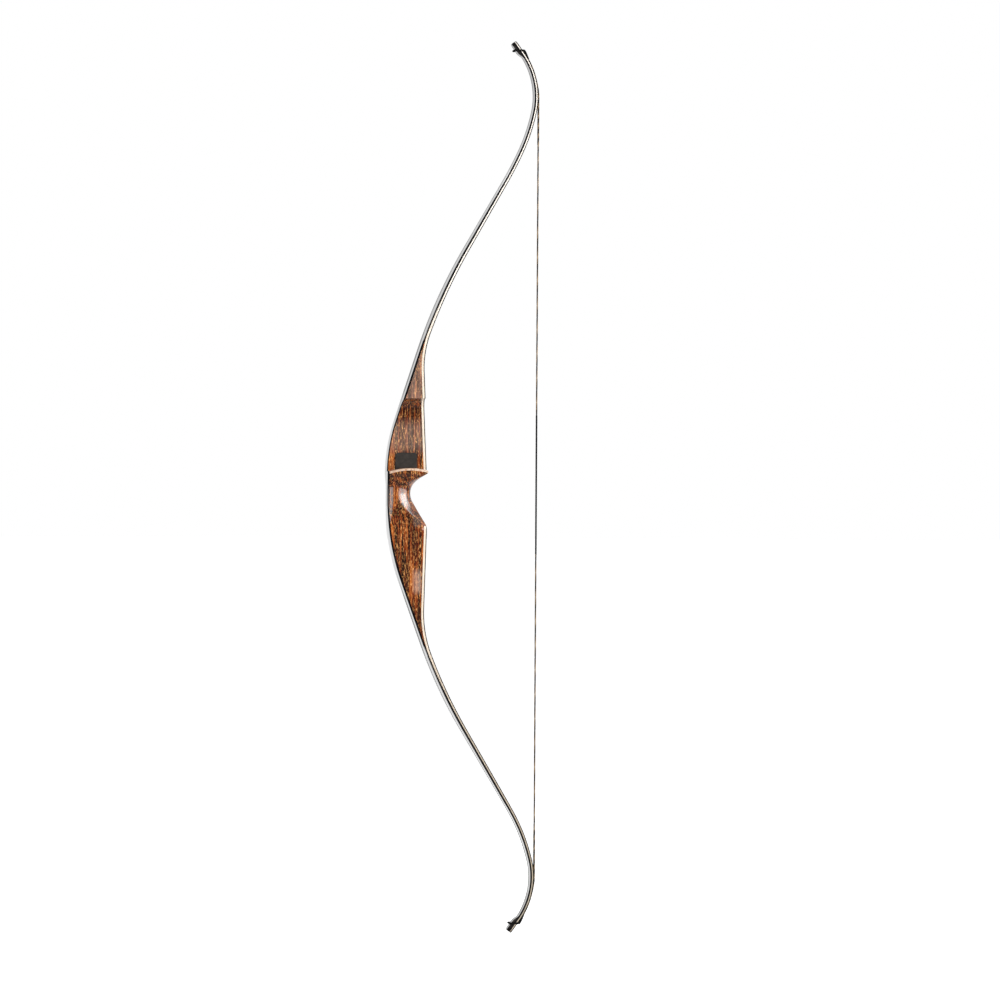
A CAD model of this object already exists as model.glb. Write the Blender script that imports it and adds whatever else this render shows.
"""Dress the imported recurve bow: worked wood, laminated limbs, wound string and finishes.

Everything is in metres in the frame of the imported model. The throat of the grip is the
origin, +Z points to the upper tip, +X to the string and -Y to the sight window.
"""

import logging
from collections.abc import Callable
from dataclasses import dataclass, field
from enum import Enum
from math import ceil, cos, pi, radians, sin, sqrt, tan

import bpy
import numpy as np
from mathutils import Matrix, Vector


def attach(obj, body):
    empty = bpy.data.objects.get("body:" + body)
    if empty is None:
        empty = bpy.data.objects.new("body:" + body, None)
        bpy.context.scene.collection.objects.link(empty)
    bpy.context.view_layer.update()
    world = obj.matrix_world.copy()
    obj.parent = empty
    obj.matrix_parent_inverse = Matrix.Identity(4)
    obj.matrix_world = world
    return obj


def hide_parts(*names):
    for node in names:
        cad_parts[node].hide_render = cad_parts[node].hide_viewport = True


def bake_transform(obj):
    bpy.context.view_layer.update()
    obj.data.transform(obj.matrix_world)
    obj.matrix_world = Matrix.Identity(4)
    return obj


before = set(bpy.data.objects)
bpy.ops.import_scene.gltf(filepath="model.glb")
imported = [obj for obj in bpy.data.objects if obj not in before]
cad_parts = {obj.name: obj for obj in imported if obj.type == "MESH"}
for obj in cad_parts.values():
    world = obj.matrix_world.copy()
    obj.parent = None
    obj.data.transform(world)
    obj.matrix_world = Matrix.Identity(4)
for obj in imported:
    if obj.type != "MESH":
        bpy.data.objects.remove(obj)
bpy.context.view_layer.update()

LOG = logging.getLogger("bow")
TABLE_POINTS = 700
ARC_POINTS = 24
GRIP_RUN = 0.3

Pair = tuple[float, float]
Triple = tuple[float, float, float]
Socket = bpy.types.NodeSocket
Value = Socket | float
Colour = Socket | Triple


class Side(Enum):
    """The two limbs, with the direction of each along Z."""

    UPPER = 1
    LOWER = -1

    @property
    def word(self) -> str:
        """The side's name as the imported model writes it."""
        return self.name.lower()


class Slot(Enum):
    """Material slots of the record."""

    WOOD = "riser_wood"
    MAPLE = "core_maple"
    BACK = "black_glass"
    BELLY = "belly_glass"
    OVERLAY = "tip_overlay"
    PLATE = "side_plate"
    STRING = "string"
    SERVING = "serving"


# Lines of the bow


def mix(low: float, high: float, share: float) -> float:
    """Return the value a share of the way from low to high."""
    return low + (high - low) * share


def eased(share: float) -> float:
    """Return a share that starts and ends softly."""
    t = min(1.0, max(0.0, share))
    return t * t * (3 - 2 * t)


@dataclass(frozen=True)
class Blank:
    """Sizes that both limbs share: layers, width, recurve and tip."""

    brace: float = 0.2094
    grip_depth: float = 0.0393
    width: float = 0.044
    tip_width: float = 0.0145
    taper: float = 0.5
    taper_power: float = 1.3
    back_glass: float = 0.0022
    belly_glass: float = 0.0015
    core_tip: float = 0.002
    core_gain: float = 0.0022
    ease_r: float = 0.62
    curl_r: float = 0.303
    hook_r: float = 0.118
    tip_angle: float = 35.0
    tip_run: float = 0.025
    nock: float = 0.016
    splice_r: float = 0.0016
    string_gap: float = 0.0003

    def core_at(self, from_end: float) -> float:
        """Return the core's thickness at a distance from the end of the limb."""
        return self.core_tip + self.core_gain * from_end

    def half_at(self, from_end: float) -> float:
        """Return half of the limb's width at a distance from its end.

        Args:
            from_end: The distance from the end of the limb.

        Returns:
            Half the width.
        """
        t = min(1.0, max(0.0, from_end / self.taper))
        swell = 1 - (1 - t) ** self.taper_power
        return self.tip_width / 2 + (self.width - self.tip_width) / 2 * swell

    @property
    def hook_len(self) -> float:
        """Length from the place where the string leaves the recurve to the end."""
        return self.tip_run + radians(self.tip_angle) * self.hook_r

    @property
    def contact_depth(self) -> float:
        """Thickness of the limb where the string touches it."""
        return self.back_glass + self.core_at(self.hook_len) + self.belly_glass

    @property
    def string_off(self) -> float:
        """Distance from the back of the limb to the middle of the spliced string."""
        return self.contact_depth + self.string_gap + self.splice_r


BLANK = Blank()


@dataclass(frozen=True)
class Shelf:
    """Sizes that the wood, its finish and the side plate share: crowned shelf and window face."""

    top: float = 0.0418
    crown_r: float = 0.11
    crown_x: float = -0.002
    window: float = 0.003


SHELF = Shelf()


@dataclass(frozen=True)
class LimbLine:
    """The back of one limb in the side view, with its own height counted towards its tip."""

    side: Side
    start: float
    bend: float
    bend_r: float
    run: float
    deflex: float
    deflex_r: float
    ease: float
    curl: float
    fade: float
    fade_r: float
    lean: float
    hinge: float
    past_fade: float = 0.09

    def reach(self) -> float:
        """Work out the straight run that brings the recurve out to the string.

        Returns:
            The length of the run.
        """
        steep = self.bend + self.deflex
        loose = steep - self.ease
        curled = loose - self.curl
        turn = [radians(a) for a in (self.bend, steep, loose, curled)]
        out = self.bend_r * (1 - cos(turn[0])) + self.run * sin(turn[0])
        out += self.deflex_r * (cos(turn[0]) - cos(turn[1]))
        out += BLANK.ease_r * (cos(turn[2]) - cos(turn[1]))
        out += BLANK.curl_r * (cos(turn[3]) - cos(turn[2]))
        out += BLANK.hook_r * (1 - cos(turn[3]))
        return (BLANK.brace + BLANK.grip_depth - BLANK.string_off - out) / sin(turn[1])

    def pieces(self) -> list[Pair]:
        """Put the back together from arcs and straight runs, from the riser to the tip.

        Returns:
            The length and the turn of each, in order.
        """
        hook = self.bend + self.deflex - self.ease - self.curl + BLANK.tip_angle
        arcs = [
            (self.bend, self.bend_r),
            (0.0, self.run),
            (self.deflex, self.deflex_r),
            (0.0, self.reach()),
            (-self.ease, BLANK.ease_r),
            (-self.curl, BLANK.curl_r),
            (-hook, BLANK.hook_r),
            (0.0, BLANK.tip_run),
        ]
        return [
            (abs(radians(turn)) * size, radians(turn)) if turn else (size, 0.0)
            for turn, size in arcs
        ]

    @property
    def length(self) -> float:
        """Length of the back from the start of its first bend to its end."""
        return sum(piece[0] for piece in self.pieces())

    def place(self, s: float) -> tuple[float, float, float]:
        """Follow the back from the start of its first bend.

        Args:
            s: The length along the back.

        Returns:
            x, the limb's own height and the heading there.
        """
        x, z, h = -BLANK.grip_depth, self.start, 0.0
        left = s
        pieces = self.pieces()
        for i, (size, turn) in enumerate(pieces):
            run = left if left <= size or i == len(pieces) - 1 else size
            bent = turn * run / size
            if turn:
                r = size / turn
                x += r * (cos(h) - cos(h + bent))
                z += r * (sin(h + bent) - sin(h))
            else:
                x += run * sin(h)
                z += run * cos(h)
            h += bent
            left -= run
            if left <= 0:
                break
        return x, z, h

    def below(self, s: float, depth: float) -> tuple[float, float]:
        """Return x and height of the point at a depth below the back, square to it."""
        x, z, h = self.place(s)
        return x + depth * cos(h), z - depth * sin(h)

    def depths(self, s: float) -> tuple[float, float, float, float]:
        """Return the depths of the four faces of the layers, from back to belly.

        Args:
            s: The length along the back.

        Returns:
            The depth of each face below the back.
        """
        glass = BLANK.back_glass
        core = BLANK.core_at(self.length - s)
        return 0.0, glass, glass + core, glass + core + BLANK.belly_glass

    def spot(self, s: float, depth: float, across: float) -> Vector:
        """Return a point of the limb in the frame of the bow."""
        x, z = self.below(s, depth)
        return Vector((x, across, self.side.value * z))

    def face(self, index: int, heights: np.ndarray) -> np.ndarray:
        """Return x of one face of the layers at each height, along the riser too.

        Args:
            index: 0 is the back, 1 the core's back, 2 the core's belly, 3 the belly.
                -1 is the core's back where the belly layers have left the limb.
            heights: Heights above or below the grip, as this limb counts them.

        Returns:
            One x for each height.
        """
        along = np.linspace(0.0, self.fade + self.past_fade, TABLE_POINTS)
        which = 1 if index == -1 else index
        line = np.array([self.below(s, self.depths(s)[which]) for s in along])
        offset = np.interp(heights, line[:, 1], line[:, 0])
        if index in (0, 1):
            return offset
        faces = self.depths(self.fade)
        inset = faces[3] - faces[which]
        x, z, h = self.place(self.fade)
        r = self.fade_r + inset
        middle = faces[3] + self.fade_r
        cx, cz = x + middle * cos(h), z - middle * sin(h)
        lean = radians(self.lean)
        foot_x, foot_z = cx - r * cos(lean), cz - r * sin(lean)
        top = cz + r * sin(h)
        bow = cx - np.sqrt(np.maximum(r * r - (heights - cz) ** 2, 0.0))
        flat = foot_x + (foot_z - heights) * tan(lean)
        return np.where(heights >= top, offset, np.where(heights > foot_z, bow, flat))


UPPER = LimbLine(
    side=Side.UPPER, start=0.0305, bend=18.1, bend_r=0.286, run=0.121, deflex=11.8,
    deflex_r=0.897, ease=5.3, curl=12.8, fade=0.244, fade_r=0.165, lean=2.5, hinge=0.33611,
)
LOWER = LimbLine(
    side=Side.LOWER, start=0.0099, bend=19.7, bend_r=0.406, run=0.105, deflex=10.9,
    deflex_r=0.829, ease=1.8, curl=14.9, fade=0.267, fade_r=0.192, lean=1.7, hinge=0.33045,
)


def grip_curve(arcs: tuple[Pair, ...], heights: np.ndarray) -> np.ndarray:
    """Return x of the grip's belly at each height, from arcs that start at the throat.

    Args:
        arcs: The slope at the end of each arc, from upright, and its radius.
        heights: Distances above or below the throat.

    Returns:
        One x for each height.
    """
    x, z, h = 0.0, 0.0, 0.0
    line = [(0.0, 0.0)]
    for slope, r in arcs:
        for a in np.linspace(h, radians(slope), ARC_POINTS)[1:]:
            line.append((x + r * (cos(h) - cos(a)), z + r * (sin(a) - sin(h))))
        x, z = line[-1]
        h = radians(slope)
    line.append((x + GRIP_RUN * sin(h), z + GRIP_RUN * cos(h)))
    table = np.array(line)
    return np.interp(heights, table[:, 1], table[:, 0])


# Modelling desk


class Desk:
    """Blender's operators, put together as steps of making one piece."""

    WELD = 2e-6
    SHEET = 0.01

    @staticmethod
    def clear() -> None:
        """Leave edit mode and deselect everything."""
        if bpy.context.object and bpy.context.object.mode != "OBJECT":
            bpy.ops.object.mode_set(mode="OBJECT")
        bpy.ops.object.select_all(action="DESELECT")

    @staticmethod
    def hold(piece: bpy.types.Object) -> None:
        """Select one piece and make it the one that is worked on.

        Args:
            piece: The piece.
        """
        Desk.clear()
        piece.select_set(True)
        bpy.context.view_layer.objects.active = piece

    @staticmethod
    def named(name: str) -> bpy.types.Object:
        """Name the piece that was just added, and its mesh.

        Args:
            name: The name.

        Returns:
            The piece.
        """
        piece = bpy.context.object
        piece.name = name
        piece.data.name = name
        return piece

    @staticmethod
    def pick(test: Callable[[Vector], bool]) -> int:
        """Select the vertices of the mesh in edit mode that pass a test.

        Args:
            test: A function of a vertex's place.

        Returns:
            How many vertices are selected.
        """
        bpy.ops.mesh.select_mode(type="VERT")
        bpy.ops.mesh.select_all(action="DESELECT")
        bpy.ops.object.mode_set(mode="OBJECT")
        mesh = bpy.context.object.data
        found = [bool(test(v.co)) for v in mesh.vertices]
        mesh.vertices.foreach_set("select", found)
        bpy.ops.object.mode_set(mode="EDIT")
        return sum(found)

    @staticmethod
    def wrap(name: str, rows: np.ndarray, lay: np.ndarray | None = None) -> bpy.types.Object:
        """Wrap a flat grid round a form, ring by ring, and close it at both ends.

        Args:
            name: Name of the piece.
            rows: Places of the vertices, as rings along the piece, points round it and xyz.
            lay: Place of each vertex along the grain, in the same order, for the finish.

        Returns:
            The closed piece, with smooth shading.
        """
        Desk.clear()
        rings, points = rows.shape[:2]
        bpy.ops.mesh.primitive_grid_add(
            x_subdivisions=points, y_subdivisions=rings - 1, size=Desk.SHEET
        )
        piece = Desk.named(name)
        closed = np.concatenate([rows, rows[:, :1]], axis=1)
        piece.data.vertices.foreach_set("co", closed.astype(np.float32).ravel())
        if lay is not None:
            grain = piece.data.attributes.new("lay", "FLOAT_VECTOR", "POINT")
            wound = np.concatenate([lay, lay[:, :1]], axis=1)
            grain.data.foreach_set("vector", wound.astype(np.float32).ravel())
        bpy.ops.object.mode_set(mode="EDIT")
        bpy.ops.mesh.select_all(action="SELECT")
        bpy.ops.mesh.remove_doubles(threshold=Desk.WELD)
        bpy.ops.mesh.select_all(action="SELECT")
        bpy.ops.mesh.fill_holes(sides=0)
        bpy.ops.mesh.select_all(action="SELECT")
        bpy.ops.mesh.normals_make_consistent(inside=False)
        bpy.ops.object.mode_set(mode="OBJECT")
        Desk.smooth(piece)
        return piece

    @staticmethod
    def smooth(piece: bpy.types.Object, angle: float = 32.0) -> None:
        """Shade a piece smooth, with its edges sharper than an angle left crisp."""
        Desk.hold(piece)
        bpy.ops.object.shade_smooth_by_angle(angle=radians(angle), keep_sharp_edges=False)

    @staticmethod
    def cut(piece: bpy.types.Object, tool: bpy.types.Object) -> None:
        """Cut a tool's shape out of a piece.

        Args:
            piece: The piece that is cut.
            tool: The closed shape that cuts it.
        """
        Desk.hold(piece)
        step = piece.modifiers.new("cut", "BOOLEAN")
        step.operation = "DIFFERENCE"
        step.solver = "EXACT"
        step.object = tool
        bpy.ops.object.modifier_apply(modifier=step.name)

    @staticmethod
    def discard(tool: bpy.types.Object) -> None:
        """Take a cutting tool away."""
        bpy.data.objects.remove(tool, do_unlink=True)


@dataclass(frozen=True)
class Station:
    """One cross-section of a strip: its middle, heading, size and length along the limb."""

    x: float
    z: float
    heading: float
    thick: float
    width: float
    along: float


@dataclass(frozen=True)
class Strip:
    """A glued strip that is drawn out from one cross-section to the next."""

    name: str
    side: Side
    stations: list[Station]
    round_back: float = 0.0
    round_belly: float = 0.0
    round_steps: int = 4

    def draw_out(self) -> bpy.types.Object:
        """Extrude, turn and scale the first cross-section through all the others.

        Returns:
            The strip.
        """
        Desk.clear()
        up = self.side.value
        first = self.stations[0]
        bpy.ops.mesh.primitive_plane_add(size=1.0)
        piece = Desk.named(self.name)
        bpy.ops.object.mode_set(mode="EDIT")
        bpy.ops.mesh.select_all(action="SELECT")
        bpy.ops.transform.resize(value=(first.thick, first.width, 1.0))
        edges = ((self.round_back, lambda co: co.x < 0), (self.round_belly, lambda co: co.x > 0))
        for size, test in edges:
            if size:
                Desk.pick(test)
                bpy.ops.mesh.bevel(offset=size, segments=self.round_steps, affect="VERTICES")
        bpy.ops.mesh.select_all(action="SELECT")
        at = Vector((first.x, 0.0, up * first.z))
        bpy.ops.transform.rotate(
            value=-up * first.heading, orient_axis="Y", center_override=(0.0, 0.0, 0.0)
        )
        bpy.ops.transform.translate(value=at)
        bpy.ops.mesh.select_mode(type="FACE")
        last = first
        for station in self.stations[1:]:
            to = Vector((station.x, 0.0, up * station.z))
            bpy.ops.mesh.extrude_region_move(TRANSFORM_OT_translate={"value": to - at})
            bpy.ops.transform.rotate(
                value=-up * (station.heading - last.heading), orient_axis="Y", center_override=to
            )
            bpy.ops.transform.resize(
                value=(station.thick / last.thick, station.width / last.width, 1.0),
                orient_matrix=Matrix.Rotation(up * station.heading, 3, "Y"),
                orient_type="GLOBAL",
                orient_matrix_type="GLOBAL",
                center_override=to,
            )
            at, last = to, station
        bpy.ops.mesh.select_all(action="SELECT")
        bpy.ops.mesh.normals_make_consistent(inside=False)
        bpy.ops.object.mode_set(mode="OBJECT")
        return piece

    def write_lay(self, piece: bpy.types.Object) -> None:
        """Write the attributes lay and edge.

        The first holds depth, place across and length along the limb. The second holds
        depth and place across as shares of the way from the middle to the edge.

        Args:
            piece: The strip, with all its cuts made.
        """
        spots = np.empty(len(piece.data.vertices) * 3, np.float32)
        piece.data.vertices.foreach_get("co", spots)
        spots = spots.reshape(-1, 3)
        flat = np.stack([spots[:, 0], self.side.value * spots[:, 2]], axis=1)
        mids = np.array([(s.x, s.z) for s in self.stations])
        near = np.linalg.norm(flat[:, None] - mids[None], axis=2).argmin(axis=1)
        heading = np.array([s.heading for s in self.stations])[near]
        out, up = (flat - mids[near]).T
        depth = out * np.cos(heading) - up * np.sin(heading)
        along = np.array([s.along for s in self.stations])[near]
        along += out * np.sin(heading) + up * np.cos(heading)
        values = np.stack([depth, spots[:, 1], self.side.value * along], axis=1)
        lay = piece.data.attributes.new("lay", "FLOAT_VECTOR", "POINT")
        lay.data.foreach_set("vector", values.astype(np.float32).ravel())
        half = np.array([(s.thick / 2, s.width / 2) for s in self.stations])[near]
        shares = np.zeros_like(values)
        shares[:, :2] = np.clip(values[:, :2] / half, -1, 1)
        edge = piece.data.attributes.new("edge", "FLOAT_VECTOR", "POINT")
        edge.data.foreach_set("vector", shares.astype(np.float32).ravel())


# Finishes


class Nodes:
    """Puts the nodes of one tree together."""

    def __init__(self, tree: bpy.types.NodeTree) -> None:
        """Start with an empty tree."""
        self.tree = tree
        tree.nodes.clear()

    def add(self, kind: str, sockets: dict | None = None, **settings: str) -> bpy.types.Node:
        """Add one node.

        Args:
            kind: The node's type, without the first part that all share.
            sockets: What each of its inputs gets: a value or another socket.
            settings: The node's own settings.

        Returns:
            The node.
        """
        node = self.tree.nodes.new(f"ShaderNode{kind}")
        for key, value in settings.items():
            setattr(node, key, value)
        for key, value in (sockets or {}).items():
            self.feed(node.inputs[key], value)
        return node

    def feed(self, socket: Socket, value: Value | tuple) -> None:
        """Link a socket to another one, or set its value.

        Args:
            socket: The input.
            value: The value or the output that it gets.
        """
        if isinstance(value, Socket):
            self.tree.links.new(value, socket)
        else:
            socket.default_value = value

    def place(self, name: str = "") -> Socket:
        """Return the coordinates of the object, or the piece's attribute of a name.

        Args:
            name: The attribute, or nothing for the coordinates.

        Returns:
            The vector.
        """
        if name:
            return self.add("Attribute", attribute_name=name).outputs["Vector"]
        return self.add("TexCoord").outputs["Object"]

    def parts(self, source: Socket) -> list[Socket]:
        """Return x, y and z of a vector."""
        node = self.add("SeparateXYZ", {"Vector": source})
        return [node.outputs[name] for name in "XYZ"]

    def noise(
        self, source: Socket, scale: Triple, detail: float = 3.0, rough: float = 0.5,
        bend: float = 0.0, lean: float = 0.0,
    ) -> Socket:
        """Add a noise pattern that is stretched along each axis.

        Args:
            source: The place that it is read at.
            scale: How fine it is along each axis.
            detail: How many finer patterns lie on it.
            rough: How strong those are.
            bend: How much it is bent.
            lean: How far it is turned in the side view.

        Returns:
            Its value.
        """
        spot = self.add("Mapping", {"Vector": source, "Scale": scale, "Rotation": (0.0, lean, 0.0)})
        values = {"Scale": 1.0, "Detail": detail, "Roughness": rough, "Distortion": bend}
        return self.add("TexNoise", {"Vector": spot.outputs["Vector"], **values}).outputs["Fac"]

    def sum(self, operation: str, a: Value, b: Value = 0.0) -> Socket:
        """Return the result of a sum on two values."""
        return self.add("Math", {0: a, 1: b}, operation=operation).outputs["Value"]

    def times(self, first: Value, *others: Value) -> Value:
        """Multiply a few values.

        Args:
            first: The first of them.
            others: The rest.

        Returns:
            Their product.
        """
        for other in others:
            first = self.sum("MULTIPLY", first, other)
        return first

    def most(self, first: Value, *others: Value) -> Value:
        """Pick the greatest of a few values.

        Args:
            first: The first of them.
            others: The rest.

        Returns:
            The greatest.
        """
        for other in others:
            first = self.sum("MAXIMUM", first, other)
        return first

    def remap(
        self, source: Value, low: float, high: float, to_low: float = 0.0, to_high: float = 1.0,
        **settings: str,
    ) -> Socket:
        """Move a value from one range to another.

        Args:
            source: The value.
            low: The lower end of its range.
            high: The upper end of its range.
            to_low: What the lower end becomes.
            to_high: What the upper end becomes.
            settings: The node's own settings.

        Returns:
            The moved value, held within the new range.
        """
        ends = {"From Min": low, "From Max": high, "To Min": to_low, "To Max": to_high}
        return self.add("MapRange", {"Value": source, **ends}, **settings).outputs["Result"]

    def ramp(self, source: Value, stops: list[tuple[float, Triple]]) -> Socket:
        """Pick a colour by a value.

        Args:
            source: The value.
            stops: The value at which each colour is full, and the colour.

        Returns:
            The colour.
        """
        node = self.add("ValToRGB", {"Fac": source})
        points = node.color_ramp.elements
        while len(points) < len(stops):
            points.new(0.5)
        for point, (spot, colour) in zip(points, stops):
            point.position = spot
            point.color = (*colour, 1.0)
        return node.outputs["Color"]

    def blend(self, share: Value, first: Colour, second: Colour) -> Socket:
        """Mix two colours.

        Args:
            share: The share of the second colour.
            first: The first colour.
            second: The second colour.

        Returns:
            The mixed colour.
        """
        node = self.add("Mix", {"Factor": share}, data_type="RGBA")
        colours = [s for s in node.inputs if s.type == "RGBA"]
        for socket, value in zip(colours, (first, second)):
            self.feed(socket, value if isinstance(value, Socket) else (*value, 1.0))
        return [s for s in node.outputs if s.type == "RGBA"][0]


class Mixer(Nodes):
    """Mixes one material."""

    def __init__(self, name: str) -> None:
        """Start a material with its shader and its output.

        Args:
            name: The material's name.
        """
        self.material = bpy.data.materials.new(name)
        self.material.use_nodes = True
        super().__init__(self.material.node_tree)
        self.shader = self.add("BsdfPrincipled")
        self.add("OutputMaterial", {"Surface": self.shader.outputs["BSDF"]})

    def set(self, **values: Value | tuple) -> bpy.types.Material:
        """Link or set the shader's sockets.

        Args:
            values: What each socket gets, under its name with underscores for spaces.

        Returns:
            The material.
        """
        for key, value in values.items():
            self.feed(self.shader.inputs[key.replace("_", " ")], value)
        return self.material

    def bump(self, source: Socket, strength: float, height: float) -> None:
        """Raise the surface by a value."""
        values = {"Height": source, "Strength": strength, "Distance": height}
        self.set(Normal=self.add("Bump", values).outputs["Normal"])


@dataclass(frozen=True)
class Zone:
    """A stretch of the wood in the side view: its ends, how soft they are, and its strength."""

    low: float
    high: float
    soft: float
    strength: float
    left: float = -0.06
    right: float = 0.06
    side_soft: float = 0.006

    def share(self, m: Nodes, x: Socket, z: Socket) -> Value:
        """Find how much of the zone there is at each place.

        Args:
            m: The tree that the nodes go into.
            x: The place towards the string.
            z: The height.

        Returns:
            The zone's share.
        """
        return m.times(
            m.remap(z, self.low, self.low + self.soft),
            m.remap(z, self.high - self.soft, self.high, 1.0, 0.0),
            m.remap(x, self.left, self.left + self.side_soft),
            m.remap(x, self.right - self.side_soft, self.right, 1.0, 0.0),
            self.strength,
        )


@dataclass(frozen=True)
class RiserWood:
    """Glossy reddish-brown wood with near-black lines, orange streaks and golden flecks."""

    black: Triple = (0.014, 0.003, 0.0012)
    brown: Triple = (0.085, 0.0135, 0.003)
    orange: Triple = (0.185, 0.0315, 0.006)
    gold: Triple = (0.4, 0.11, 0.021)
    fleck: Triple = (0.86, 0.42, 0.14)
    rubbed: Triple = (0.78, 0.6, 0.45)
    haze: Triple = (0.5, 0.36, 0.29)
    lean: float = radians(-3)
    crest: float = 0.0044
    crest_share: float = 0.85
    crest_top: Pair = (-0.0008, 0.0002)
    crest_foot: Pair = (-0.0006, 0.0003)
    crest_wall: Pair = (-0.004, -0.006)
    window: Pair = (0.0, -0.002)
    clouds: tuple[Zone, ...] = (
        Zone(0.1535, 0.236, 0.002, 0.25),
        Zone(0.06, 0.126, 0.018, 0.22),
        Zone(-0.167, -0.121, 0.011, 0.37, left=0.0, right=0.019),
    )
    shades: tuple[Zone, ...] = (
        Zone(0.124, 0.1545, 0.012, 0.5),
        Zone(0.015, 0.036, 0.006, 0.25),
        Zone(-0.28, -0.175, 0.02, 0.35),
    )
    handled: tuple[Zone, ...] = (Zone(-0.058, -0.006, 0.008, 1.0, left=0.0),)

    def build(self) -> bpy.types.Material:
        """Mix the finish.

        Returns:
            The material.
        """
        m = Mixer("riser_wood")
        place = m.place()
        x, y, z = m.parts(place)
        broad = m.noise(place, (74.0, 90.0, 12.0), 2.0, 0.5, 0.4, self.lean)
        streak = m.noise(place, (300.0, 340.0, 15.0), 3.0, 0.62, 0.3, self.lean)
        lines = m.noise(place, (380.0, 430.0, 8.0), 2.0, 0.55, 0.2, self.lean)
        dashes = m.noise(place, (820.0, 880.0, 170.0), 3.0, 0.65, 0.0, self.lean)
        pores = m.noise(place, (1100.0, 1100.0, 200.0), 2.0, 0.6)
        window_side = m.remap(y, *self.window)
        clouds, shades, dull = (
            m.most(*(zone.share(m, x, z) for zone in zones))
            for zones in (self.clouds, self.shades, self.handled)
        )
        figure = m.ramp(
            m.sum("ADD", m.times(broad, 0.25), m.times(streak, 0.75)),
            [(0.395, self.black), (0.465, self.brown), (0.53, self.orange), (0.61, self.gold)],
        )
        golden = m.times(m.remap(dashes, 0.54, 0.66), m.remap(broad, 0.36, 0.6, 0.4, 0.9))
        veil = m.times(clouds, window_side, m.remap(streak, 0.42, 0.6, 0.7, 1.3))
        for share, colour in (
            (m.times(m.remap(lines, 0.508, 0.552), 0.93), self.black),
            (golden, self.fleck),
            (m.times(m.remap(pores, 0.56, 0.68), 0.5), self.black),
            (m.times(shades, window_side), self.black),
            (veil, self.haze),
        ):
            figure = m.blend(share, figure, colour)
        pale = m.blend(m.times(m.remap(streak, 0.45, 0.6), 0.6), self.rubbed, self.gold)
        pale = m.blend(m.times(m.remap(pores, 0.55, 0.66), 0.5), pale, self.orange)
        m.bump(m.sum("ADD", streak, m.times(dashes, 0.4)), 0.5, 0.00016)
        return m.set(
            Base_Color=m.blend(self.rim_share(m, x, y, z), figure, pale),
            Roughness=m.sum("ADD", m.remap(pores, 0.3, 0.75, 0.09, 0.14), m.times(dull, 0.4)),
            Coat_Weight=m.remap(dull, 0.0, 1.0, 1.0, 0.1),
            Coat_Roughness=0.12,
            Coat_IOR=1.55,
        )

    def rim_share(self, m: Mixer, x: Socket, y: Socket, z: Socket) -> Value:
        """Find the pale rubbed edge along the crest of the shelf.

        Args:
            m: The tree that the nodes go into.
            x: The place towards the string.
            y: The place across the bow.
            z: The height.

        Returns:
            The share of the rubbed edge.
        """
        out = m.sum("SUBTRACT", x, SHELF.crown_x)
        drop = m.sum("DIVIDE", m.times(out, out), 2 * SHELF.crown_r)
        below = m.sum("SUBTRACT", m.sum("SUBTRACT", SHELF.top, drop), z)
        return m.times(
            m.remap(below, *self.crest_top),
            m.remap(below, *(self.crest + off for off in self.crest_foot), 1.0, 0.0),
            m.remap(y, *self.crest_wall),
            self.crest_share,
        )


@dataclass(frozen=True)
class Maple:
    """Pale lacquered maple with lines along the strip and black glue on its back."""

    pale: Triple = (0.76, 0.65, 0.53)
    warm: Triple = (0.68, 0.54, 0.41)
    line: Triple = (0.4, 0.26, 0.14)
    aged: Triple = (0.36, 0.3, 0.22)
    bleached: Triple = (0.92, 0.87, 0.8)
    glue: Triple = (0.006, 0.005, 0.005)
    glue_edge: Pair = (-0.4, -0.26)
    glue_from: Pair = (0.26, 0.33)
    aged_from: Pair = (-0.2, -0.4)
    bleached_from: Pair = (0.22, 0.36)

    def build(self) -> bpy.types.Material:
        """Mix the finish: darker in the lower limb and paler in the upper one.

        Returns:
            The material.
        """
        m = Mixer("core_maple")
        lay = m.place("lay")
        grain = m.noise(lay, (900.0, 260.0, 9.0), 4.0, 0.6)
        flecks = m.noise(lay, (2600.0, 1500.0, 160.0), 2.0, 0.5)
        height = m.parts(m.place())[2]
        along = m.sum("ABSOLUTE", m.parts(lay)[2])
        glued = m.remap(m.parts(m.place("edge"))[0], *self.glue_edge, 1.0, 0.0)
        body = m.ramp(grain, [(0.3, self.warm), (0.5, self.pale), (0.7, self.warm)])
        for share, colour in (
            (m.times(m.remap(flecks, 0.6, 0.75), 0.35), self.line),
            (m.remap(height, *self.aged_from, 0.0, 0.8), self.aged),
            (m.remap(height, *self.bleached_from, 0.0, 0.75), self.bleached),
            (m.times(glued, m.remap(along, *self.glue_from)), self.glue),
        ):
            body = m.blend(share, body, colour)
        return m.set(
            Base_Color=body, Roughness=m.remap(flecks, 0.3, 0.7, 0.26, 0.36),
            Coat_Weight=0.8, Coat_Roughness=0.07,
        )


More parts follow.
